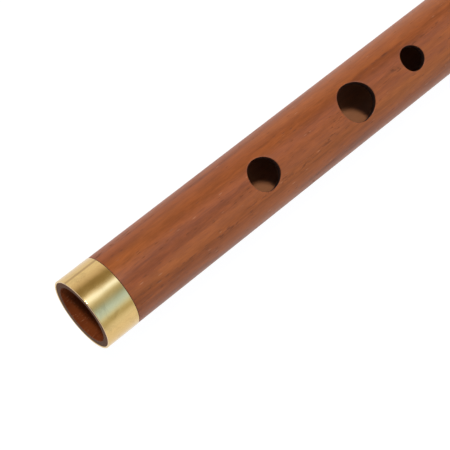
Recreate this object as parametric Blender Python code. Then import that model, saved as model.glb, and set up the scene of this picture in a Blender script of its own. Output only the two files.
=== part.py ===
"""A wooden whistle, with brass ferrules and a brass tuning slide between its body and its head.

It lies along X, foot towards -X and beak towards +X, with its finger holes and its window up.
The origin is on the surface that it lies on, under the middle of its length.
"""
import math

import bmesh
import bpy

MM = 0.001

# Body tube
BORE_DIAMETER = 12.1 * MM
BODY_WALL = 1.55 * MM

# Finger holes, counted from the head down as a player does, so hole 6 is next to the foot
FOOT_TO_HOLE_6 = 43.0 * MM
HOLE_6_TO_HOLE_5 = 25.1 * MM
HOLE_5_TO_HOLE_4 = 15.8 * MM
HOLE_4_TO_HOLE_3 = 24.4 * MM
HOLE_3_TO_HOLE_2 = 20.0 * MM
HOLE_2_TO_HOLE_1 = 20.4 * MM
HOLE_1_TO_JOINT = 47.3 * MM
HOLE_6_DIAMETER = 6.65 * MM
HOLE_5_DIAMETER = 8.05 * MM
HOLE_4_DIAMETER = 5.25 * MM
HOLE_3_DIAMETER = 6.6 * MM
HOLE_2_DIAMETER = 7.2 * MM
HOLE_1_DIAMETER = 6.2 * MM

# Ferrules, let into a rebate in the wood and standing a hair proud of it
FERRULE_WALL = 0.38 * MM
FERRULE_STAND = 0.075 * MM
FOOT_FERRULE_LENGTH = 7.35 * MM
BODY_FERRULE_LENGTH = 7.35 * MM
HEAD_FERRULE_LENGTH = 9.0 * MM

# Tuning slide, two thin brass tubes that telescope
SLIDE_WALL = 0.355 * MM
SLIDE_SEAT_DEPTH = 22.0 * MM
SLIDE_REACH = 24.0 * MM
SLIDE_END_CLEARANCE = 1.5 * MM

# Head tube
SOCKET_WALL = 1.8 * MM
SOCKET_LENGTH = 30.0 * MM
WINDOW_WALL = 2.2 * MM
TIP_WALL = 1.95 * MM
TIP_ROUNDING = 0.8 * MM
JOINT_TO_BLADE = 72.7 * MM

# Window, blade and windway
WINDOW_LENGTH = 5.2 * MM
WINDOW_WIDTH = 8.5 * MM
RAMP_LENGTH = 11.0 * MM
BLADE_THICKNESS = 0.1 * MM
WINDWAY_EXIT_HEIGHT = 0.9 * MM
WINDWAY_ENTRY_HEIGHT = 1.2 * MM
WINDWAY_ROOF_RISE = 0.2 * MM

# Block and beak
BLOCK_LENGTH = 30.8 * MM
BEAK_LENGTH = 26.0 * MM
BEAK_BELOW_AXIS = 0.5 * MM

# Fits: a film of glue or a push fit round a piece, the running gap of the slide, and the gap at
# the end of a piece that seats on a shoulder
GLUE_GAP = 0.05 * MM
RUNNING_GAP = 0.04 * MM
SEAT_GAP = 0.3 * MM

# Flats on a turned surface, on a drilled hole and on the round that shapes the beak
TURNED_FLATS = 30
DRILLED_FLATS = 32
BEAK_FLATS = 128
ROUNDING_STEPS = 4
SHARP_ANGLE = math.radians(30)

# Radii of the body and of the slide, each worked out from the piece inside it
BORE_R = BORE_DIAMETER / 2
BODY_R = BORE_R + BODY_WALL
BODY_FERRULE_R = BODY_R + FERRULE_STAND
BODY_REBATE_R = BODY_FERRULE_R - FERRULE_WALL - GLUE_GAP
SLIDE_BORE_R = BORE_R - GLUE_GAP
SLIDE_R = SLIDE_BORE_R + SLIDE_WALL
SLEEVE_BORE_R = SLIDE_R + RUNNING_GAP
SLEEVE_R = SLEEVE_BORE_R + SLIDE_WALL

# Radii of the head
SOCKET_R = SLEEVE_R + GLUE_GAP
HEAD_R = SOCKET_R + SOCKET_WALL
HEAD_FERRULE_R = HEAD_R + FERRULE_STAND
HEAD_REBATE_R = HEAD_FERRULE_R - FERRULE_WALL - GLUE_GAP
WINDOW_R = BORE_R + WINDOW_WALL
TIP_R = BORE_R + TIP_WALL
BLADE_R = BORE_R + BLADE_THICKNESS
ROOF_EXIT_R = BORE_R + (BLADE_THICKNESS + WINDWAY_EXIT_HEIGHT) / 2
ROOF_ENTRY_R = ROOF_EXIT_R + WINDWAY_ROOF_RISE
FLOOR_EXIT_R = ROOF_EXIT_R - WINDWAY_EXIT_HEIGHT
FLOOR_ENTRY_R = ROOF_ENTRY_R - WINDWAY_ENTRY_HEIGHT
BLOCK_R = BORE_R - GLUE_GAP

# Places along the body, from its foot
HOLES = []
place = 0.0
for step, diameter in (
    (FOOT_TO_HOLE_6, HOLE_6_DIAMETER),
    (HOLE_6_TO_HOLE_5, HOLE_5_DIAMETER),
    (HOLE_5_TO_HOLE_4, HOLE_4_DIAMETER),
    (HOLE_4_TO_HOLE_3, HOLE_3_DIAMETER),
    (HOLE_3_TO_HOLE_2, HOLE_2_DIAMETER),
    (HOLE_2_TO_HOLE_1, HOLE_1_DIAMETER),
):
    place += step
    HOLES.append((place, diameter))
BODY_LENGTH = place + HOLE_1_TO_JOINT

# Places along the head, from the end that meets the body
SLEEVE_LENGTH = SLIDE_REACH + SLIDE_END_CLEARANCE
SOCKET_DEPTH = SLEEVE_LENGTH + SEAT_GAP
WINDOW_START = JOINT_TO_BLADE
WINDOW_END = WINDOW_START + WINDOW_LENGTH
HEAD_LENGTH = WINDOW_END + BLOCK_LENGTH

# Places in the whole whistle
TOTAL_LENGTH = BODY_LENGTH + SEAT_GAP + HEAD_LENGTH
FOOT_X = -TOTAL_LENGTH / 2
HEAD_X = FOOT_X + BODY_LENGTH + SEAT_GAP
AXIS_Z = HEAD_FERRULE_R

# How far a cutter runs past what it cuts
OVERRUN = 2.0 * MM


def clear_scene():
    for thing in list(bpy.data.objects):
        bpy.data.objects.remove(thing, do_unlink=True)


def finish(name, colour, metallic, roughness):
    """A material with one colour, as the piece would be painted in a workshop drawing."""
    material = bpy.data.materials.new(name)
    material.use_nodes = True
    shader = material.node_tree.nodes["Principled BSDF"]
    shader.inputs["Base Color"].default_value = (*colour, 1.0)
    shader.inputs["Metallic"].default_value = metallic
    shader.inputs["Roughness"].default_value = roughness
    material.diffuse_color = (*colour, 1.0)
    return material


def axis_empty(name, x, parent=None):
    """An empty on the axis of the bore, which carries the pieces that move together."""
    empty = bpy.data.objects.new(name, None)
    bpy.context.scene.collection.objects.link(empty)
    empty.empty_display_size = HEAD_R
    if parent:
        empty.parent = parent
        empty.location = (x - parent.location.x, 0.0, 0.0)
    else:
        empty.location = (x, 0.0, AXIS_Z)
    return empty


def place_mesh(name, bm, parent, x, material=None):
    """Turn a bmesh into a smooth-shaded object at x along its parent's axis."""
    bmesh.ops.recalc_face_normals(bm, faces=bm.faces)
    mesh = bpy.data.meshes.new(name)
    bm.to_mesh(mesh)
    bm.free()
    mesh.shade_smooth()
    mesh.set_sharp_from_angle(angle=SHARP_ANGLE)
    piece = bpy.data.objects.new(name, mesh)
    bpy.context.scene.collection.objects.link(piece)
    piece.parent = parent
    piece.location = (x, 0.0, 0.0)
    if material:
        mesh.materials.append(material)
    return piece


def turned_mesh(outline, solid=False):
    """Turn an outline of (x, radius) points round the X axis.

    The outline of a tube is closed. That of a solid piece runs from one end to the other, and its
    ends are capped. The surface has flats that touch the true circle, one of them straight down.
    """
    bm = bmesh.new()
    to_corner = 1.0 / math.cos(math.pi / TURNED_FLATS)
    rings = []
    for x, radius in outline:
        ring = []
        for corner in range(TURNED_FLATS):
            angle = (corner + 0.5) * 2 * math.pi / TURNED_FLATS
            y = radius * to_corner * math.sin(angle)
            z = radius * to_corner * math.cos(angle)
            ring.append(bm.verts.new((x, y, z)))
        rings.append(ring)
    following = rings[1:] if solid else rings[1:] + rings[:1]
    for near, far in zip(rings, following):
        for corner in range(TURNED_FLATS):
            after = (corner + 1) % TURNED_FLATS
            bm.faces.new((near[corner], near[after], far[after], far[corner]))
    if solid:
        bm.faces.new(rings[0])
        bm.faces.new(rings[-1])
    return bm


def cutter(name, bm, parent, x):
    """A solid that only cuts, drawn as wire and left out of the whistle."""
    tool = place_mesh(name, bm, parent, x)
    tool.hide_render = True
    tool.display_type = "WIRE"
    return tool


def combine(piece, tool, operation):
    step = piece.modifiers.new(tool.name, "BOOLEAN")
    step.operation = operation
    step.solver = "EXACT"
    step.object = tool


def drilled_cutter(name, parent, x, diameter, reach):
    """A drill that comes down from above and stops at the axis."""
    bm = bmesh.new()
    bmesh.ops.create_cone(
        bm,
        cap_ends=True,
        segments=DRILLED_FLATS,
        radius1=diameter / 2,
        radius2=diameter / 2,
        depth=reach,
    )
    bmesh.ops.translate(bm, verts=bm.verts, vec=(0.0, 0.0, reach / 2))
    return cutter(name, bm, parent, x)


def slot_cutter(name, parent, outline):
    """The part of a turned outline above the axis that lies within the window's width."""
    low_x = min(x for x, radius in outline) - OVERRUN
    high_x = max(x for x, radius in outline) + OVERRUN
    height = max(radius for x, radius in outline) + OVERRUN
    bm = bmesh.new()
    bmesh.ops.create_cube(bm, size=1.0)
    bmesh.ops.scale(bm, verts=bm.verts, vec=(high_x - low_x, WINDOW_WIDTH, height))
    bmesh.ops.translate(bm, verts=bm.verts, vec=((low_x + high_x) / 2, 0.0, height / 2))
    width = cutter(name + "_width", bm, parent, 0.0)
    slot = cutter(name, turned_mesh(outline), parent, 0.0)
    combine(slot, width, "INTERSECT")
    return slot


def beak_cutter(parent):
    """The round that hollows the underside of the beak, level at the tip."""
    drop = WINDOW_R - BEAK_BELOW_AXIS
    radius = (BEAK_LENGTH**2 + drop**2) / (2 * drop)
    bm = bmesh.new()
    bmesh.ops.create_cone(
        bm,
        cap_ends=True,
        segments=BEAK_FLATS,
        radius1=radius,
        radius2=radius,
        depth=2 * (HEAD_R + OVERRUN),
    )
    tool = cutter("beak_cutter", bm, parent, HEAD_LENGTH)
    tool.location.z = -BEAK_BELOW_AXIS - radius
    tool.rotation_euler.x = math.pi / 2
    return tool


def ring(name, parent, x, length, inner, outer, material):
    outline = [(0.0, inner), (0.0, outer), (length, outer), (length, inner)]
    return place_mesh(name, turned_mesh(outline), parent, x, material)


def make_body_tube(parent, wood):
    """The body, with a rebate at each end for a ferrule and a seat in its top for the slide."""
    foot_shoulder = FOOT_FERRULE_LENGTH + SEAT_GAP
    top_shoulder = BODY_LENGTH - BODY_FERRULE_LENGTH - SEAT_GAP
    seat_floor = BODY_LENGTH - SLIDE_SEAT_DEPTH - SEAT_GAP
    outline = [
        (0.0, BODY_REBATE_R),
        (foot_shoulder, BODY_REBATE_R),
        (foot_shoulder, BODY_R),
        (top_shoulder, BODY_R),
        (top_shoulder, BODY_REBATE_R),
        (BODY_LENGTH, BODY_REBATE_R),
        (BODY_LENGTH, SLIDE_R + GLUE_GAP),
        (seat_floor, SLIDE_R + GLUE_GAP),
        (seat_floor, BORE_R),
        (0.0, BORE_R),
    ]
    body = place_mesh("body_tube", turned_mesh(outline), parent, 0.0, wood)
    for number, (x, diameter) in enumerate(HOLES):
        name = f"finger_hole_{len(HOLES) - number}_cutter"
        drill = drilled_cutter(name, parent, x, diameter, BODY_R + OVERRUN)
        combine(body, drill, "DIFFERENCE")
    return body


def make_body_rings(parent, brass):
    inner = BODY_REBATE_R + GLUE_GAP
    top = BODY_LENGTH - BODY_FERRULE_LENGTH
    ring("foot_ferrule", parent, 0.0, FOOT_FERRULE_LENGTH, inner, BODY_FERRULE_R, brass)
    ring("body_ferrule", parent, top, BODY_FERRULE_LENGTH, inner, BODY_FERRULE_R, brass)


def make_slide(body_parent, sleeve_parent, brass):
    """The inner tube stands out of the body, and the outer one lines the head."""
    start = BODY_LENGTH - SLIDE_SEAT_DEPTH
    length = SLIDE_SEAT_DEPTH + SLIDE_REACH
    ring("slide_tube", body_parent, start, length, SLIDE_BORE_R, SLIDE_R, brass)
    ring("slide_sleeve", sleeve_parent, 0.0, SLEEVE_LENGTH, SLEEVE_BORE_R, SLEEVE_R, brass)


def tip_round():
    """The outline's points round the tip's outer edge, from the side to the end face."""
    points = []
    for step in range(ROUNDING_STEPS + 1):
        angle = step * math.pi / 2 / ROUNDING_STEPS
        x = HEAD_LENGTH - TIP_ROUNDING * (1 - math.sin(angle))
        radius = TIP_R - TIP_ROUNDING * (1 - math.cos(angle))
        points.append((x, radius))
    return points


def make_head_tube(parent, beak, wood):
    """The head, with its socket, the window and ramp, the windway's roof and the beak."""
    shoulder = HEAD_FERRULE_LENGTH + SEAT_GAP
    outline = [
        (0.0, HEAD_REBATE_R),
        (shoulder, HEAD_REBATE_R),
        (shoulder, HEAD_R),
        (SOCKET_LENGTH, HEAD_R),
        (WINDOW_START - RAMP_LENGTH, WINDOW_R),
        (WINDOW_END, WINDOW_R),
        *tip_round(),
        (HEAD_LENGTH, BORE_R),
        (SOCKET_DEPTH, BORE_R),
        (SOCKET_DEPTH, SOCKET_R),
        (0.0, SOCKET_R),
    ]
    head = place_mesh("head_tube", turned_mesh(outline), parent, 0.0, wood)

    ramp_start = WINDOW_START - RAMP_LENGTH
    ramp_slope = (WINDOW_R - BLADE_R) / RAMP_LENGTH
    past_ramp = OVERRUN * ramp_slope
    inside = BORE_R / 2
    outside = HEAD_R + OVERRUN
    window = [
        (WINDOW_START, inside),
        (WINDOW_START, BLADE_R),
        (ramp_start - OVERRUN, WINDOW_R + past_ramp),
        (ramp_start - OVERRUN, outside),
        (WINDOW_END, outside),
        (WINDOW_END, inside),
    ]
    combine(head, slot_cutter("window_cutter", parent, window), "DIFFERENCE")

    roof_slope = WINDWAY_ROOF_RISE / BLOCK_LENGTH
    past_roof = OVERRUN * roof_slope
    windway = [
        (WINDOW_END - OVERRUN, inside),
        (WINDOW_END - OVERRUN, ROOF_EXIT_R - past_roof),
        (HEAD_LENGTH + OVERRUN, ROOF_ENTRY_R + past_roof),
        (HEAD_LENGTH + OVERRUN, inside),
    ]
    combine(head, slot_cutter("windway_cutter", parent, windway), "DIFFERENCE")
    combine(head, beak, "DIFFERENCE")
    return head


def make_fipple_block(parent, beak, wood):
    """The plug that closes the head, lowered on top between the window's sides."""
    plug = turned_mesh([(0.0, BLOCK_R), (BLOCK_LENGTH, BLOCK_R)], solid=True)
    block = place_mesh("fipple_block", plug, parent, WINDOW_END, wood)

    floor_slope = (FLOOR_ENTRY_R - FLOOR_EXIT_R) / BLOCK_LENGTH
    past_floor = OVERRUN * floor_slope
    floor = [
        (WINDOW_END - OVERRUN, FLOOR_EXIT_R - past_floor),
        (WINDOW_END - OVERRUN, BORE_R + OVERRUN),
        (HEAD_LENGTH + OVERRUN, BORE_R + OVERRUN),
        (HEAD_LENGTH + OVERRUN, FLOOR_ENTRY_R + past_floor),
    ]
    combine(block, slot_cutter("windway_floor_cutter", parent, floor), "DIFFERENCE")
    combine(block, beak, "DIFFERENCE")
    return block


def main():
    clear_scene()
    wood = finish("satin_hardwood", (0.305, 0.092, 0.038), 0.0, 0.45)
    block_wood = finish("block_cedar", (0.42, 0.19, 0.085), 0.0, 0.7)
    brass = finish("polished_brass", (0.75, 0.52, 0.22), 1.0, 0.15)

    body_axis = axis_empty("body_axis", FOOT_X)
    sleeve_axis = axis_empty("sleeve_axis", HEAD_X)
    head_axis = axis_empty("head_axis", HEAD_X, sleeve_axis)

    make_body_tube(body_axis, wood)
    make_body_rings(body_axis, brass)
    make_slide(body_axis, sleeve_axis, brass)
    inner = HEAD_REBATE_R + GLUE_GAP
    ring("head_ferrule", head_axis, 0.0, HEAD_FERRULE_LENGTH, inner, HEAD_FERRULE_R, brass)
    beak = beak_cutter(head_axis)
    make_head_tube(head_axis, beak, wood)
    make_fipple_block(head_axis, beak, block_wood)
    bpy.context.view_layer.update()


main()
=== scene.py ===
"""The looks of a wooden whistle: satin hardwood, polished brass ferrules and a brass tuning slide.

Lengths are in metres. X runs along the bore from the foot to the beak, and the finger holes face up.
"""
import math

import bmesh
import bpy
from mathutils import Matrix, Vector


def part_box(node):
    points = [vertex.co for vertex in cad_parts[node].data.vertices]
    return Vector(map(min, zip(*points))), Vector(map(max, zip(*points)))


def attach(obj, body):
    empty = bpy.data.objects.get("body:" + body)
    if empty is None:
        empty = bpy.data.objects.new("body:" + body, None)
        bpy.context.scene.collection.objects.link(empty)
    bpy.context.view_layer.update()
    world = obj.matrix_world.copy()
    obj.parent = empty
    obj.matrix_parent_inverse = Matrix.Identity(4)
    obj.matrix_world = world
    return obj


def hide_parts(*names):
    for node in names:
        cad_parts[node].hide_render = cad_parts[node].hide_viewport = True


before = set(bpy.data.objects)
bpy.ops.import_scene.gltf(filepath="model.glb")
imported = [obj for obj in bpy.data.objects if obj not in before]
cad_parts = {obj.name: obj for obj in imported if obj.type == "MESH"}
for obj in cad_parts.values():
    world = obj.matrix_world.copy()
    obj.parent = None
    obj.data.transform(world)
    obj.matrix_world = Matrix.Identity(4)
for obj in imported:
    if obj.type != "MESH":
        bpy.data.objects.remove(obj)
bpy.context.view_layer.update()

# Body tube
# A straight tube turned from a close-grained reddish hardwood, bored right through and drilled with
# six finger holes. It is oiled and rubbed to a satin, and its ends are turned down for the ferrules.
MM = 0.001
body_low, body_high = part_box("body_tube")
FOOT_X = body_low.x
JOINT_X = body_high.x
AXIS_Z = (body_low.z + body_high.z) / 2
BODY_R = (body_high.z - body_low.z) / 2
BORE_R = 6.05 * MM
BODY_REBATE_R = 7.245 * MM
BODY_FERRULE_LENGTH = 7.35 * MM
SLIDE_SEAT_R = 6.405 * MM
SLIDE_SEAT_DEPTH = 22.3 * MM
HAIR = 0.06 * MM                 # the line left between two pieces that meet
WOOD_EASE = 0.22 * MM            # edges broken with fine abrasive
HOLE_EASE = 0.30 * MM
HOLE_UNDER_EASE = 0.15 * MM
HOLES = (                        # step from the hole before it, and diameter, from the foot up
    (43.0 * MM, 6.65 * MM),
    (25.1 * MM, 8.05 * MM),
    (15.8 * MM, 5.25 * MM),
    (24.4 * MM, 6.6 * MM),
    (20.0 * MM, 7.2 * MM),
    (20.4 * MM, 6.2 * MM),
)
COLUMNS = 96                     # faces round the tube
HOLE_COLUMNS = 13                # faces to each side of the top that a hole takes over
HOLE_ROWS = 12                   # faces to each side of a hole's centre along the tube
HOLE_REACH = 5.75 * MM
ROW = 2.5 * MM
HOLE_RINGS = 5
RING_CROWDING = 1.4              # the rings of faces lie closer together towards the hole
EASE_STEPS = 4
SHARP_TURN = math.radians(40)    # faces that meet at more than this show an edge


def turned_ring(bm, x, radius, columns=COLUMNS):
    """Corners round the bore's axis, starting at the top."""
    ring = []
    for column in range(columns):
        angle = 2 * math.pi * column / columns
        place = (x, radius * math.sin(angle), AXIS_Z + radius * math.cos(angle))
        ring.append(bm.verts.new(place))
    return ring


def skin(bm, near, far, finish_number=0):
    """Faces between two rings of corners."""
    for corner in range(len(near)):
        after = (corner + 1) % len(near)
        face = bm.faces.new((near[corner], near[after], far[after], far[corner]))
        face.material_index = finish_number


def rounded(x, radius, ease, start, end, steps=EASE_STEPS):
    """Points of an edge broken to a small round, whose centre is at x and radius."""
    points = []
    for step in range(steps + 1):
        angle = math.radians(start + (end - start) * step / steps)
        points.append((x + ease * math.cos(angle), radius + ease * math.sin(angle)))
    return points


def finished(name, bm, *materials):
    """The piece itself: outward faces, smooth shading and its own finish."""
    bmesh.ops.recalc_face_normals(bm, faces=bm.faces)
    mesh = bpy.data.meshes.new(name)
    bm.to_mesh(mesh)
    bm.free()
    mesh.shade_smooth()
    mesh.set_sharp_from_angle(angle=SHARP_TURN)
    for material in materials:
        mesh.materials.append(material)
    piece = bpy.data.objects.new(name, mesh)
    bpy.context.scene.collection.objects.link(piece)
    return piece


def hole_patch(bm, outer, inner, centre, diameter, first, last):
    """A finger hole in the tube's wall, with the wall round it out to the grid of the tube.

    The drilled wall takes the second finish, and the rest takes the first.
    """
    side = range(-HOLE_COLUMNS, HOLE_COLUMNS)
    across = range(first, last)
    border = [(first, column) for column in side]
    border += [(row, HOLE_COLUMNS) for row in across]
    border += [(last, -column) for column in side]
    border += [(last + first - row, -HOLE_COLUMNS) for row in across]
    radius = diameter / 2

    def level(tube_radius, y):
        return AXIS_Z + math.sqrt(tube_radius**2 - y**2)

    edge = [outer[row][column] for row, column in border]
    turns = [math.atan2(vert.co.y, vert.co.x - centre) for vert in edge]

    def circle(reach, tube_radius, sink):
        ring = []
        for turn in turns:
            y = reach * math.sin(turn)
            place = (centre + reach * math.cos(turn), y, level(tube_radius, y) + sink)
            ring.append(bm.verts.new(place))
        return ring

    def blend(border_verts, reach, tube_radius, share):
        ring = []
        for turn, vert in zip(turns, border_verts):
            y = reach * math.sin(turn) * (1 - share) + vert.co.y * share
            x = (centre + reach * math.cos(turn)) * (1 - share) + vert.co.x * share
            ring.append(bm.verts.new((x, y, level(tube_radius, y))))
        return ring

    rings = [edge]
    for step in range(HOLE_RINGS - 1, 0, -1):
        share = (step / HOLE_RINGS) ** RING_CROWDING
        rings.append(blend(edge, radius + HOLE_EASE, BODY_R, share))
    drilled = len(rings) + EASE_STEPS // 2
    for step in range(EASE_STEPS + 1):
        angle = math.pi / 2 * step / EASE_STEPS
        reach = radius + HOLE_EASE * (1 - math.sin(angle))
        rings.append(circle(reach, BODY_R, -HOLE_EASE * (1 - math.cos(angle))))
    for step in range(EASE_STEPS + 1):
        angle = math.pi / 2 * step / EASE_STEPS
        reach = radius + HOLE_UNDER_EASE * (1 - math.cos(angle))
        rings.append(circle(reach, BORE_R, HOLE_UNDER_EASE * (1 - math.sin(angle))))
    bored = len(rings) - 1
    under = [inner[row][column] for row, column in border]
    for step in range(1, HOLE_RINGS):
        share = (step / HOLE_RINGS) ** RING_CROWDING
        rings.append(blend(under, radius + HOLE_UNDER_EASE, BORE_R, share))
    rings.append(under)
    for number, (near, far) in enumerate(zip(rings, rings[1:])):
        skin(bm, near, far, 1 if drilled <= number < bored else 0)


def turn_body():
    """The tube's grid inside and out, its holes, and the turned ends."""
    shoulder = FOOT_X + BODY_FERRULE_LENGTH + HAIR
    top_shoulder = JOINT_X - BODY_FERRULE_LENGTH - HAIR
    seat_floor = JOINT_X - SLIDE_SEAT_DEPTH
    rows = [shoulder + WOOD_EASE]
    patches = []
    centre = FOOT_X
    for step, diameter in HOLES:
        centre += step
        start = rows[-1]
        plain = max(1, round((centre - HOLE_REACH - start) / ROW))
        for row in range(1, plain + 1):
            rows.append(start + (centre - HOLE_REACH - start) * row / plain)
        first = len(rows) - 1
        for row in range(1, 2 * HOLE_ROWS + 1):
            rows.append(centre - HOLE_REACH + HOLE_REACH * row / HOLE_ROWS)
        patches.append((centre, diameter, first, len(rows) - 1))
    start = rows[-1]
    plain = round((seat_floor - start) / ROW)
    rows += [start + (seat_floor - start) * row / plain for row in range(1, plain + 1)]

    bm = bmesh.new()
    outer = [turned_ring(bm, x, BODY_R) for x in rows]
    inner = [turned_ring(bm, x, BORE_R) for x in rows]
    taken = set()
    for _, _, first, last in patches:
        for row in range(first, last):
            for column in range(-HOLE_COLUMNS, HOLE_COLUMNS):
                taken.add((row, column % COLUMNS))
    for row in range(len(rows) - 1):
        for column in range(COLUMNS):
            if (row, column) in taken:
                continue
            after = (column + 1) % COLUMNS
            for wall in (outer, inner):
                near, far = wall[row], wall[row + 1]
                bm.faces.new((near[column], near[after], far[after], far[column]))
    for centre, diameter, first, last in patches:
        hole_patch(bm, outer, inner, centre, diameter, first, last)

    foot = rounded(shoulder + WOOD_EASE, BODY_R - WOOD_EASE, WOOD_EASE, 90, 180)[1:]
    foot += [(shoulder, BODY_REBATE_R), (FOOT_X + HAIR, BODY_REBATE_R), (FOOT_X, BODY_REBATE_R - HAIR)]
    foot += [(FOOT_X, (BODY_REBATE_R + BORE_R) / 2)]
    foot += rounded(FOOT_X + WOOD_EASE, BORE_R + WOOD_EASE, WOOD_EASE, 180, 270)
    top = rounded(top_shoulder - WOOD_EASE, BODY_R - WOOD_EASE, WOOD_EASE, 90, 0)
    top += [(top_shoulder, BODY_REBATE_R), (JOINT_X - HAIR, BODY_REBATE_R), (JOINT_X, BODY_REBATE_R - HAIR)]
    top += rounded(JOINT_X - WOOD_EASE, SLIDE_SEAT_R + WOOD_EASE, WOOD_EASE, 0, -90)
    top += [(seat_floor, SLIDE_SEAT_R)]
    for wall_start, outline, wall_end in ((outer[0], foot, inner[0]), (outer[-1], top, inner[-1])):
        near = wall_start
        for x, radius in outline:
            far = turned_ring(bm, x, radius)
            skin(bm, near, far)
            near = far
        skin(bm, near, wall_end)
    bmesh.ops.delete(bm, geom=[vert for vert in bm.verts if not vert.link_faces], context="VERTS")
    return bm


class Finish:
    """The nodes of a material, wired up a line at a time."""

    def __init__(self, name):
        self.material = bpy.data.materials.new(name)
        self.material.use_nodes = True
        self.tree = self.material.node_tree
        self.shader = self.tree.nodes["Principled BSDF"]

    def node(self, kind, **settings):
        made = self.tree.nodes.new(kind)
        for key, value in settings.items():
            setattr(made, key, value)
        return made

    def wire(self, source, target):
        if isinstance(source, bpy.types.NodeSocket):
            self.tree.links.new(source, target)
        else:
            target.default_value = source

    def sum(self, operation, first, second=0.0, third=0.0):
        """One step of arithmetic on numbers."""
        made = self.node("ShaderNodeMath", operation=operation)
        for source, target in zip((first, second, third), made.inputs):
            self.wire(source, target)
        return made.outputs[0]

    def spread(self, value, low, high, low_out=0.0, high_out=1.0, curve="SMOOTHSTEP"):
        """A value's range from low to high, spread over another range."""
        made = self.node("ShaderNodeMapRange", interpolation_type=curve)
        for source, target in zip((value, low, high, low_out, high_out), made.inputs):
            self.wire(source, target)
        return made.outputs["Result"]

    def mix(self, share, first, second, blend="MIX"):
        """Two colours mixed by a share."""
        made = self.node("ShaderNodeMix", data_type="RGBA", blend_type=blend)
        self.wire(share, made.inputs["Factor"])
        for source, name in ((first, "A"), (second, "B")):
            sockets = [one for one in made.inputs if one.name == name and one.type == "RGBA"]
            self.wire(source if not isinstance(source, tuple) else (*source, 1.0), sockets[0])
        return next(one for one in made.outputs if one.type == "RGBA")

    def stretched(self, along, across, shift=(0.0, 0.0, 0.0)):
        """The place on the object, counted in steps along the grain and across it."""
        place = self.node("ShaderNodeTexCoord").outputs["Object"]
        made = self.node("ShaderNodeMapping")
        self.wire(place, made.inputs["Vector"])
        made.inputs["Location"].default_value = shift
        made.inputs["Scale"].default_value = (1 / along, 1 / across, 1 / across)
        return made.outputs["Vector"]

    def cloud(self, place, detail=2.0, rough=0.5, twist=0.0):
        """Soft patches, one or so to a step."""
        made = self.node("ShaderNodeTexNoise")
        self.wire(place, made.inputs["Vector"])
        made.inputs["Scale"].default_value = 1.0
        made.inputs["Detail"].default_value = detail
        made.inputs["Roughness"].default_value = rough
        made.inputs["Distortion"].default_value = twist
        return made.outputs["Fac"]

    def bump(self, height, strength, distance, under=None):
        """Relief in the surface, over any relief that is under it."""
        made = self.node("ShaderNodeBump")
        made.inputs["Strength"].default_value = strength
        made.inputs["Distance"].default_value = distance
        self.wire(height, made.inputs["Height"])
        if under:
            self.wire(under, made.inputs["Normal"])
        return made.outputs["Normal"]


PORE_SHARE = 0.12                # how many of the cells are open pores
RAY_SHARE = 0.05                 # and how many are pale flecks
PORE_COLOUR = (0.035, 0.012, 0.006)
RAY_COLOUR = (0.60, 0.30, 0.16)
RING_LINE = 0.012
OIL_SOAK = 18 * MM               # how far up the bore the oil has darkened it; past it the wood is dry
BORE_FILM = 0.3 * MM             # how far into the wall the look of the bore reaches


def grain(finish, tones, pore_share, seed):
    """Growth streaks, fibres and pores of a hardwood whose grain runs along the bore.

    Returns the wood's colour, how far a place is inside a pore, and the fibres.
    """
    dark, middle, light = tones
    shift = (seed, 0.37 * seed, 0.71 * seed)
    streaks = finish.cloud(finish.stretched(46 * MM, 2.6 * MM, shift), 4.0, 0.5, 0.8)
    rings = finish.cloud(finish.stretched(75 * MM, 3.4 * MM, shift), 1.0, 0.4)
    broad = finish.cloud(finish.stretched(60 * MM, 5.5 * MM, shift), 2.0, 0.5)
    mottle = finish.cloud(finish.stretched(5 * MM, 1.1 * MM, shift), 4.0, 0.6)
    fibres = finish.cloud(finish.stretched(2.6 * MM, 0.20 * MM, shift), 3.0, 0.6)
    colour = finish.mix(finish.spread(streaks, 0.28, 0.60), dark, middle)
    colour = finish.mix(finish.spread(broad, 0.40, 0.72), colour, light)
    shade = finish.spread(fibres, 0.25, 0.75, 0.87, 1.13)
    shade = finish.sum("MULTIPLY", shade, finish.spread(mottle, 0.25, 0.75, 0.88, 1.12))
    tint = finish.node("ShaderNodeCombineColor")
    for socket in tint.inputs:
        finish.wire(shade, socket)
    colour = finish.mix(1.0, colour, tint.outputs[0], "MULTIPLY")
    cells = finish.node("ShaderNodeTexVoronoi")
    finish.wire(finish.stretched(1.9 * MM, 0.27 * MM, shift), cells.inputs["Vector"])
    cells.inputs["Scale"].default_value = 1.0
    one = finish.node("ShaderNodeSeparateColor")
    finish.wire(cells.outputs["Color"], one.inputs[0])
    inside = finish.spread(cells.outputs["Distance"], 0.14, 0.34, 1.0, 0.0)
    pores = finish.sum("MULTIPLY", inside, finish.sum("LESS_THAN", one.outputs[0], pore_share))
    rays = finish.sum("MULTIPLY", inside, finish.sum("LESS_THAN", one.outputs[1], RAY_SHARE))
    growth_line = finish.sum("ABSOLUTE", finish.sum("SUBTRACT", rings, 0.49))
    growth_line = finish.spread(growth_line, 0.0, RING_LINE, 1.0, 0.0)
    dotted = finish.spread(finish.cloud(finish.stretched(1.4 * MM, 0.5 * MM, shift), 2.0), 0.48, 0.62)
    pores = finish.sum("MAXIMUM", pores, finish.sum("MULTIPLY", growth_line, dotted))
    colour = finish.mix(finish.sum("MULTIPLY", rays, 0.30), colour, RAY_COLOUR)
    colour = finish.mix(finish.sum("MULTIPLY", pores, 0.42), colour, PORE_COLOUR)
    return colour, pores, fibres


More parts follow.
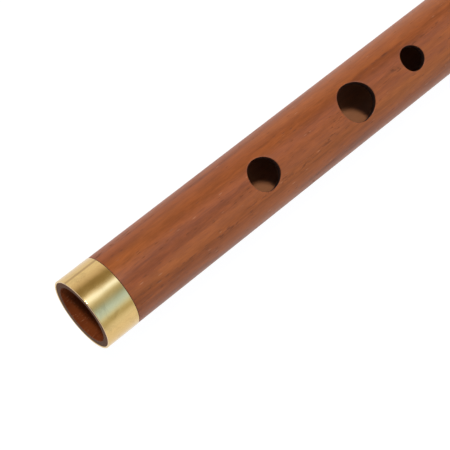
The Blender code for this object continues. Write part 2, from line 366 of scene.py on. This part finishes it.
def satin_hardwood(name, seed):
    """Oiled hardwood, rubbed outside, with torn fibres in its bore and matt end grain."""
    finish = Finish(name)
    tones = ((0.190, 0.043, 0.009), (0.275, 0.066, 0.013), (0.315, 0.083, 0.017))
    colour, pores, fibres = grain(finish, tones, PORE_SHARE, seed)

    object_place = finish.node("ShaderNodeSeparateXYZ")
    finish.wire(finish.node("ShaderNodeTexCoord").outputs["Object"], object_place.inputs[0])
    height = finish.sum("SUBTRACT", object_place.outputs[2], AXIS_Z)
    square = finish.sum("MULTIPLY", height, height)
    square = finish.sum("MULTIPLY_ADD", object_place.outputs[1], object_place.outputs[1], square)
    off_axis = finish.sum("SQRT", square)
    bored = finish.spread(off_axis, BORE_R + BORE_FILM / 6, BORE_R + BORE_FILM, 1.0, 0.0)
    oiled = finish.spread(object_place.outputs[0], FOOT_X, FOOT_X + OIL_SOAK, 0.70, 0.0)
    colour = finish.mix(finish.sum("MULTIPLY", oiled, bored), colour, (0.120, 0.024, 0.007))
    dry = finish.spread(object_place.outputs[0], FOOT_X + OIL_SOAK / 2, FOOT_X + 2 * OIL_SOAK, 0.0, 0.6)
    colour = finish.mix(finish.sum("MULTIPLY", dry, bored), colour, (0.38, 0.185, 0.095))
    torn = finish.cloud(finish.stretched(0.9 * MM, 0.26 * MM, (seed, 0.0, 0.0)), 2.0, 0.5, 0.5)
    torn = finish.sum("MULTIPLY", finish.spread(torn, 0.63, 0.70), bored)
    colour = finish.mix(finish.sum("MULTIPLY", torn, 0.5), colour, (0.36, 0.16, 0.08))

    facing = finish.node("ShaderNodeSeparateXYZ")
    finish.wire(finish.node("ShaderNodeNewGeometry").outputs["Normal"], facing.inputs[0])
    end_grain = finish.spread(finish.sum("ABSOLUTE", facing.outputs[0]), 0.55, 0.9)
    ends = finish.mix(finish.spread(fibres, 0.32, 0.68), (0.098, 0.062, 0.046), (0.154, 0.102, 0.078))
    ends = finish.mix(finish.sum("MULTIPLY", pores, 0.6), ends, (0.030, 0.018, 0.012))
    colour = finish.mix(finish.sum("MULTIPLY", end_grain, 0.9), colour, ends)
    finish.wire(colour, finish.shader.inputs["Base Color"])

    matt = finish.sum("MAXIMUM", end_grain, finish.sum("MULTIPLY", bored, 0.8))
    finish.wire(finish.spread(matt, 0.0, 1.0, 0.5, 0.0), finish.shader.inputs["Specular IOR Level"])
    rubbed = finish.spread(fibres, 0.3, 0.7, 0.36, 0.48)
    rough = finish.sum("MULTIPLY_ADD", pores, 0.25, rubbed)
    rough = finish.sum("MULTIPLY_ADD", matt, 0.4, rough)
    finish.wire(rough, finish.shader.inputs["Roughness"])
    relief = finish.bump(fibres, 0.35, 0.012 * MM)
    relief = finish.bump(finish.sum("MULTIPLY", pores, -1.0), 0.7, 0.05 * MM, relief)
    finish.wire(relief, finish.shader.inputs["Normal"])
    finish.shader.inputs["IOR"].default_value = 1.31
    return finish.material


def cut_wood(name, tones, pore_share, seed, smoothest, roughest):
    """Wood left as the tool cut it."""
    finish = Finish(name)
    colour, _, fibres = grain(finish, tones, pore_share, seed)
    rough = finish.spread(fibres, 0.3, 0.7, smoothest, roughest)
    finish.wire(colour, finish.shader.inputs["Base Color"])
    finish.wire(rough, finish.shader.inputs["Roughness"])
    finish.wire(finish.bump(fibres, 0.4, 0.02 * MM), finish.shader.inputs["Normal"])
    return finish


def hole_wall_painted_shade(name, seed):
    """End and side grain in a drilled hole, its tones darkened to near black as painted shade."""
    # Near-black tones: painted shade for the depth of the finger holes; only the grain pattern is the
    # wood's own.
    tones = ((0.012, 0.005, 0.004), (0.022, 0.009, 0.006), (0.034, 0.014, 0.009))
    finish = cut_wood(name, tones, PORE_SHARE, seed, 0.50, 0.66)
    finish.shader.inputs["Specular IOR Level"].default_value = 0.15
    return finish.material


body_wood = satin_hardwood("body_satin_hardwood", 3.1)
# The finger holes' walls take the near-black finish of painted shade.
hole_wood_painted_shade = hole_wall_painted_shade("body_hole_wall_painted_shade", 5.4)
body = finished("whistle_body", turn_body(), body_wood, hole_wood_painted_shade)
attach(body, "body")
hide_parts("body_tube")

# Ferrules
# Three rings rolled from thin sheet brass and brazed, slid over the turned-down ends of the wood
# and glued. They are filed flush with the end grain, eased at the edges and polished. Each is
# drawn with a thin darker line along it, at the same turn from the top.
FERRULE_WALL = 0.38 * MM
BRASS_EASE = 0.09 * MM
DARK_LINE_TURN = math.radians(58)     # from the top, towards the back
DARK_LINE_WIDTH = math.radians(4)
DARK_LINE_SHADE = 0.75                # how dark the thin line along each ring is


def brass_ring(name, node, wall, material, ease, columns=COLUMNS):
    """A length of thin tube as long and as wide as its node, with both ends dressed."""
    low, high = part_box(node)
    outer = (high.z - low.z) / 2
    inner = outer - wall
    outline = rounded(low.x + ease, outer - ease, ease, 180, 90)
    outline += rounded(high.x - ease, outer - ease, ease, 90, 0)
    outline += rounded(high.x - ease, inner + ease, ease, 0, -90)
    outline += rounded(low.x + ease, inner + ease, ease, 270, 180)
    bm = bmesh.new()
    rings = [turned_ring(bm, x, radius, columns) for x, radius in outline]
    for near, far in zip(rings, rings[1:] + rings[:1]):
        skin(bm, near, far)
    piece = finished(name, bm, material)
    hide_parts(node)
    return piece


def polished_brass(name, colour, rough, seed, dark_line=0.0):
    """Brass with fine lines of use, dull patches and, where asked, a thin darker line along the ring at a
    fixed turn.
    """
    finish = Finish(name)
    shift = (seed, 0.0, 0.0)
    lines = finish.cloud(finish.stretched(0.035 * MM, 14 * MM, shift), 2.0, 0.6)
    rubs = finish.cloud(finish.stretched(3.0 * MM, 1.6 * MM, shift), 3.0, 0.6)
    patches = finish.cloud(finish.stretched(2.2 * MM, 2.2 * MM, shift), 4.0, 0.62, 0.6)
    dull = tuple(0.72 * part for part in colour)
    tone = finish.mix(finish.spread(patches, 0.48, 0.74, 0.0, 0.5), colour, dull)
    place = finish.node("ShaderNodeSeparateXYZ")
    finish.wire(finish.node("ShaderNodeTexCoord").outputs["Object"], place.inputs[0])
    turn = finish.sum("ARCTAN2", place.outputs[1], finish.sum("SUBTRACT", place.outputs[2], AXIS_Z))
    # A thin darker line along the ring, at a fixed turn from the top, mixed into the colour.
    off_dark_line = finish.sum("ABSOLUTE", finish.sum("SUBTRACT", turn, DARK_LINE_TURN))
    line = finish.spread(off_dark_line, 0.2 * DARK_LINE_WIDTH, DARK_LINE_WIDTH, dark_line, 0.0)
    tone = finish.mix(line, tone, (0.38, 0.235, 0.09))
    finish.wire(tone, finish.shader.inputs["Base Color"])
    finish.shader.inputs["Metallic"].default_value = 1.0
    gloss = finish.spread(rubs, 0.35, 0.75, rough, rough + 0.10)
    finish.wire(gloss, finish.shader.inputs["Roughness"])
    relief = finish.bump(lines, 0.10, 0.003 * MM)
    waves = finish.cloud(finish.stretched(6.0 * MM, 5.0 * MM, shift), 1.0, 0.4)
    relief = finish.bump(waves, 1.0, 0.10 * MM, relief)
    finish.wire(relief, finish.shader.inputs["Normal"])
    return finish.material


bright_brass = polished_brass("ferrule_polished_brass", (0.66, 0.445, 0.178), 0.13, 1.7, DARK_LINE_SHADE)
for name, node, body_name in (
    ("foot_ferrule_ring", "foot_ferrule", "body"),
    ("body_ferrule_ring", "body_ferrule", "body"),
    ("head_ferrule_ring", "head_ferrule", "head"),
):
    ferrule = brass_ring(name, node, FERRULE_WALL, bright_brass, BRASS_EASE)
    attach(ferrule, body_name)

# Tuning slide
# Two drawn brass tubes that telescope: the inner one is glued into the top of the body, the outer
# one lines the head. They are left as drawn, with the faint lines of use and a film of grease.
SLIDE_WALL = 0.355 * MM
SLIDE_EASE = 0.08 * MM
greased_brass = polished_brass("slide_greased_brass", (0.62, 0.425, 0.18), 0.22, 6.2)
inner_slide = brass_ring("inner_slide_tube", "slide_tube", SLIDE_WALL, greased_brass, SLIDE_EASE)
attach(inner_slide, "body")
outer_slide = brass_ring("outer_slide_sleeve", "slide_sleeve", SLIDE_WALL, greased_brass, SLIDE_EASE)
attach(outer_slide, "sleeve")

# Head
# Turned from the same wood as the body, counterbored for the slide, with a long slim taper. The
# window and its ramp are cut down to a thin blade, and the underside of the beak is hollowed.
head_low, head_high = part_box("head_tube")
HEAD_X = head_low.x
TIP_X = head_high.x
HEAD_R = 8.60 * MM
HEAD_REBATE_R = 8.245 * MM
HEAD_FERRULE_LENGTH = 9.0 * MM
SOCKET_R = 6.80 * MM
SOCKET_DEPTH = 25.8 * MM
SOCKET_LENGTH = 30.0 * MM
WINDOW_R = 8.25 * MM
TIP_R = 8.0 * MM
TIP_ROUND = 0.8 * MM
TIP_STEPS = 8
BLADE_X = HEAD_X + 72.7 * MM
WINDOW_LENGTH = 5.2 * MM
WINDOW_WIDTH = 8.5 * MM
RAMP_LENGTH = 11.0 * MM
BLADE_R = 6.15 * MM
ROOF_EXIT_R = 6.55 * MM
ROOF_ENTRY_R = 6.75 * MM
BEAK_LENGTH = 26.0 * MM
BEAK_BELOW_AXIS = 0.5 * MM
CUT_PAST = 2.0 * MM              # how far a tool runs on past the wood
SAME_PLACE = 0.002 * MM          # corners nearer than this are one
TAPER_STOP = 0.7 * MM            # the taper ends so far before the ramp
HEAD_COLUMNS = 144
BEAK_COLUMNS = 720
CUT_EASE = 0.10 * MM             # outer edges of the cuts, broken with fine abrasive
WINDOW_END_X = BLADE_X + WINDOW_LENGTH


def turned(outline, columns, capped=False):
    """An outline of (x, radius) points turned round the axis."""
    bm = bmesh.new()
    rings = [turned_ring(bm, x, radius, columns) for x, radius in outline]
    for near, far in zip(rings, rings[1:] if capped else rings[1:] + rings[:1]):
        skin(bm, near, far)
    if capped:
        bm.faces.new(rings[0])
        bm.faces.new(rings[-1])
    return bm


def loose(name, bm):
    """A closed solid that is still to be cut, or that cuts."""
    bmesh.ops.recalc_face_normals(bm, faces=bm.faces)
    mesh = bpy.data.meshes.new(name)
    bm.to_mesh(mesh)
    bm.free()
    thing = bpy.data.objects.new(name, mesh)
    bpy.context.scene.collection.objects.link(thing)
    return thing


def carved(thing, tools, operation="DIFFERENCE"):
    """The thing after each tool has cut it. The tools are used up."""
    for tool in tools:
        cut = thing.modifiers.new(tool.name, "BOOLEAN")
        cut.operation = operation
        cut.solver = "EXACT"
        cut.object = tool
    held = bpy.context.evaluated_depsgraph_get()
    mesh = bpy.data.meshes.new_from_object(thing.evaluated_get(held))
    for used in [thing, *tools]:
        bpy.data.objects.remove(used, do_unlink=True)
    bm = bmesh.new()
    bm.from_mesh(mesh)
    bpy.data.meshes.remove(mesh)
    bmesh.ops.remove_doubles(bm, verts=bm.verts, dist=SAME_PLACE)
    return bm


def break_edges(bm, ease, least_radius):
    """Rounds the sharp edges that lie further out than a radius."""
    sharp = []
    for edge in bm.edges:
        outside = all(math.hypot(vert.co.y, vert.co.z - AXIS_Z) > least_radius for vert in edge.verts)
        if outside and edge.is_manifold and edge.is_convex and edge.calc_face_angle() > SHARP_TURN:
            sharp.append(edge)
    bmesh.ops.bevel(
        bm, geom=sharp, offset=ease, segments=2, profile=0.5, affect="EDGES", clamp_overlap=False
    )


def slot_tool(name, outline):
    """What a flat file as wide as the window takes out of the head, above the axis."""
    low_x = min(x for x, radius in outline) - CUT_PAST
    high_x = max(x for x, radius in outline) + CUT_PAST
    height = 2 * HEAD_R
    bm = bmesh.new()
    bmesh.ops.create_cube(bm, size=1.0)
    bmesh.ops.scale(bm, verts=bm.verts, vec=(high_x - low_x, WINDOW_WIDTH, height))
    middle = ((low_x + high_x) / 2, 0.0, AXIS_Z + height / 2)
    bmesh.ops.translate(bm, verts=bm.verts, vec=middle)
    width = loose(name + "_width", bm)
    body_of_tool = loose(name + "_round", turned(outline, HEAD_COLUMNS))
    return loose(name, carved(body_of_tool, [width], "INTERSECT"))


def beak_tool():
    """The drum of a sander that hollows the underside of the beak, level at the tip."""
    drop = WINDOW_R - BEAK_BELOW_AXIS
    radius = (BEAK_LENGTH**2 + drop**2) / (2 * drop)
    bm = bmesh.new()
    bmesh.ops.create_cone(
        bm, cap_ends=True, segments=BEAK_COLUMNS, radius1=radius, radius2=radius, depth=3 * HEAD_R
    )
    tool = loose("beak_drum", bm)
    tool.rotation_euler.x = math.pi / 2
    tool.location = (TIP_X, 0.0, AXIS_Z - BEAK_BELOW_AXIS - radius)
    bpy.context.view_layer.update()
    return tool


def turn_head():
    """The head as it comes off the lathe, bored, counterbored and rebated."""
    shoulder = HEAD_X + HEAD_FERRULE_LENGTH + HAIR
    outline = [(HEAD_X + HAIR, HEAD_REBATE_R), (shoulder, HEAD_REBATE_R)]
    outline += rounded(shoulder + WOOD_EASE, HEAD_R - WOOD_EASE, WOOD_EASE, 180, 90)
    outline += [(HEAD_X + SOCKET_LENGTH, HEAD_R)]
    outline += [(BLADE_X - RAMP_LENGTH - TAPER_STOP, WINDOW_R), (WINDOW_END_X + TAPER_STOP, WINDOW_R)]
    outline += rounded(TIP_X - TIP_ROUND, TIP_R - TIP_ROUND, TIP_ROUND, 90, 0, TIP_STEPS)
    outline += [(TIP_X, BORE_R), (HEAD_X + SOCKET_DEPTH, BORE_R), (HEAD_X + SOCKET_DEPTH, SOCKET_R)]
    outline += rounded(HEAD_X + WOOD_EASE, SOCKET_R + WOOD_EASE, WOOD_EASE, 270, 180)
    outline += [(HEAD_X, HEAD_REBATE_R - HAIR)]
    return loose("turned_head", turned(outline, HEAD_COLUMNS))


def window_tool():
    """What is filed away over the window and down the ramp to its blade."""
    ramp_start = BLADE_X - RAMP_LENGTH
    past_ramp = CUT_PAST * (WINDOW_R - BLADE_R) / RAMP_LENGTH
    outline = [
        (BLADE_X, BORE_R / 2),
        (BLADE_X, BLADE_R),
        (ramp_start - CUT_PAST, WINDOW_R + past_ramp),
        (ramp_start - CUT_PAST, HEAD_R + CUT_PAST),
        (WINDOW_END_X, HEAD_R + CUT_PAST),
        (WINDOW_END_X, BORE_R / 2),
    ]
    return slot_tool("window_file", outline)


def windway_tool():
    """What is filed out of the bore's top for the windway, whose roof rises to the beak."""
    past_roof = CUT_PAST * (ROOF_ENTRY_R - ROOF_EXIT_R) / (TIP_X - WINDOW_END_X)
    outline = [
        (WINDOW_END_X - CUT_PAST, BORE_R / 2),
        (WINDOW_END_X - CUT_PAST, ROOF_EXIT_R - past_roof),
        (TIP_X + CUT_PAST, ROOF_ENTRY_R + past_roof),
        (TIP_X + CUT_PAST, BORE_R / 2),
    ]
    return slot_tool("windway_file", outline)


head_wood = satin_hardwood("head_satin_hardwood", 11.4)
cut_head = carved(turn_head(), [window_tool(), windway_tool(), beak_tool()])
break_edges(cut_head, CUT_EASE, ROOF_ENTRY_R + CUT_EASE)
head = finished("whistle_head", cut_head, head_wood)
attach(head, "head")
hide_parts("head_tube")

# Fipple block
# A plug of soft, straight-grained cedar pushed into the head, which closes it but for the windway
# over its flattened top. It is left bare to take up the breath's damp, and cut with the beak.
BLOCK_R = 6.0 * MM
FLOOR_EXIT_R = 5.65 * MM
FLOOR_ENTRY_R = 5.55 * MM
block_low, block_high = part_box("fipple_block")


def floor_tool():
    """What is planed off the block's top for the windway's floor."""
    past_floor = CUT_PAST * (FLOOR_ENTRY_R - FLOOR_EXIT_R) / (block_high.x - block_low.x)
    outline = [
        (block_low.x - CUT_PAST, FLOOR_EXIT_R - past_floor),
        (block_low.x - CUT_PAST, HEAD_R),
        (block_high.x + CUT_PAST, HEAD_R),
        (block_high.x + CUT_PAST, FLOOR_ENTRY_R + past_floor),
    ]
    return slot_tool("windway_floor_file", outline)


cedar_tones = ((0.30, 0.125, 0.055), (0.46, 0.215, 0.100), (0.55, 0.29, 0.145))
bare_cedar = cut_wood("block_bare_cedar", cedar_tones, 0.2, 21.0, 0.62, 0.78).material
plug = loose("plug", turned([(block_low.x, BLOCK_R), (block_high.x, BLOCK_R)], HEAD_COLUMNS, True))
block = finished("whistle_block", carved(plug, [floor_tool(), beak_tool()]), bare_cedar)
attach(block, "head")
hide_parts("fipple_block")

# Floor and studio light
# A plain white sheet, and soft light from long panels that run beside the whistle: a warm one just
# behind the top, a cool one just before it, and darker ceiling between them and the pale walls.
PANELS = (                       # degrees from overhead, towards the back, and the light there
    (-180, (1.00, 1.02, 1.04)),
    (-88, (1.04, 1.08, 1.12)),
    (-79, (1.06, 1.12, 1.18)),
    (-70, (0.88, 0.93, 0.90)),
    (-62, (0.66, 0.67, 0.53)),
    (-53, (0.70, 0.74, 0.62)),
    (-45, (0.88, 1.06, 1.20)),
    (-36, (0.84, 1.24, 1.86)),
    (-26, (0.74, 1.17, 1.95)),
    (-18, (0.57, 0.90, 1.36)),
    (-10, (0.51, 0.67, 0.80)),
    (-2, (0.56, 0.63, 0.60)),
    (6, (0.72, 0.78, 0.74)),
    (13, (1.15, 1.35, 1.65)),
    (18, (1.55, 2.00, 3.00)),
    (24, (1.55, 1.95, 2.90)),
    (29, (1.10, 1.20, 1.35)),
    (35, (0.58, 0.56, 0.44)),
    (42, (0.42, 0.37, 0.24)),
    (52, (0.38, 0.32, 0.19)),
    (62, (0.42, 0.36, 0.23)),
    (72, (0.74, 0.67, 0.58)),
    (82, (0.95, 0.92, 0.90)),
    (180, (0.96, 0.94, 0.94)),
)
DIM_FROM = -0.45                 # the light falls off past the foot, from here
DIM_TO = -0.02                   # to here, along the way to the light
DIM_LIGHT = 0.22
PALE_WALL_TOP = 0.12             # below this height the walls stay pale all round
LAMP_WAY = (-0.175, 0.315, 0.93)  # from the whistle to the lamp
LAMP_STRENGTH = 1.75
LAMP_SPREAD = math.radians(6)
LAMP_COLOUR = (1.0, 0.97, 0.93)
FLOOR_SIZE = 4.0
PAPER_GREY = 0.10
PAPER_GLOW = 0.94                # the paper is lit from below, so that it stays white
half = FLOOR_SIZE / 2
floor_mesh = bpy.data.meshes.new("floor")
corners = [(-half, -half, 0.0), (half, -half, 0.0), (half, half, 0.0), (-half, half, 0.0)]
floor_mesh.from_pydata(corners, [], [(0, 1, 2, 3)])
floor = bpy.data.objects.new("floor", floor_mesh)
bpy.context.scene.collection.objects.link(floor)
paper = Finish("white_paper")
paper.shader.inputs["Base Color"].default_value = (PAPER_GREY, PAPER_GREY, PAPER_GREY, 1.0)
paper.shader.inputs["Roughness"].default_value = 0.9
paper.shader.inputs["Emission Color"].default_value = (1.0, 1.0, 1.0, 1.0)
paper.shader.inputs["Emission Strength"].default_value = PAPER_GLOW
floor_mesh.materials.append(paper.material)

lamp_light = bpy.data.lights.new("lamp", "SUN")
lamp_light.energy = LAMP_STRENGTH
lamp_light.angle = LAMP_SPREAD
lamp_light.color = LAMP_COLOUR
lamp = bpy.data.objects.new("lamp", lamp_light)
lamp.rotation_euler = Vector(LAMP_WAY).to_track_quat("Z", "Y").to_euler()
bpy.context.scene.collection.objects.link(lamp)


class Sky(Finish):
    """The nodes of the light from all round, wired up as a finish is."""

    def __init__(self, name):
        self.world = bpy.data.worlds.new(name)
        self.world.use_nodes = True
        self.tree = self.world.node_tree
        self.shader = self.tree.nodes["Background"]


sky = Sky("studio")
way = sky.node("ShaderNodeSeparateXYZ")
sky.wire(sky.node("ShaderNodeTexCoord").outputs["Generated"], way.inputs[0])
lean = sky.sum("ARCTAN2", way.outputs[1], way.outputs[2])
panels = sky.node("ShaderNodeValToRGB")
sky.wire(sky.spread(lean, -math.pi, math.pi, curve="LINEAR"), panels.inputs[0])
stops = panels.color_ramp.elements
while len(stops) > 1:
    stops.remove(stops[-1])
brightest = max(max(light) for degrees, light in PANELS)
for number, (degrees, light) in enumerate(PANELS):
    position = (degrees + 180) / 360
    stop = stops[0] if number == 0 else stops.new(position)
    stop.position = position
    stop.color = (*(part / brightest for part in light), 1.0)
dim = sky.spread(way.outputs[0], DIM_FROM, DIM_TO, DIM_LIGHT, 1.0)
low_walls = sky.spread(way.outputs[2], PALE_WALL_TOP, 2 * PALE_WALL_TOP, 1.0, 0.0, "LINEAR")
shaded = sky.node("ShaderNodeVectorMath", operation="SCALE")
sky.wire(panels.outputs["Color"], shaded.inputs[0])
sky.wire(sky.sum("MAXIMUM", dim, low_walls), shaded.inputs["Scale"])
sky.wire(shaded.outputs[0], sky.shader.inputs["Color"])
sky.shader.inputs["Strength"].default_value = brightest
bpy.context.scene.world = sky.world
bpy.context.scene.view_settings.view_transform = "Standard"

# Camera
# It stands over the foot and looks down at it, with the body running off the picture's upper right.
CAMERA_FROM_FOOT = (-71.55 * MM, 9.57 * MM, 267.56 * MM)
CAMERA_TURN = (11.4073, -18.3870, -39.6291)   # degrees
CAMERA_LENS = 120.08
CAMERA_SENSOR = 36.0
camera_data = bpy.data.cameras.new("camera")
camera_data.lens = CAMERA_LENS
camera_data.sensor_width = CAMERA_SENSOR
camera_data.clip_start = 1 * MM
camera = bpy.data.objects.new("camera", camera_data)
bpy.context.scene.collection.objects.link(camera)
camera.location = [at + off for at, off in zip((FOOT_X, 0.0, AXIS_Z), CAMERA_FROM_FOOT)]
camera.rotation_euler = [math.radians(turn) for turn in CAMERA_TURN]
bpy.context.scene.camera = camera
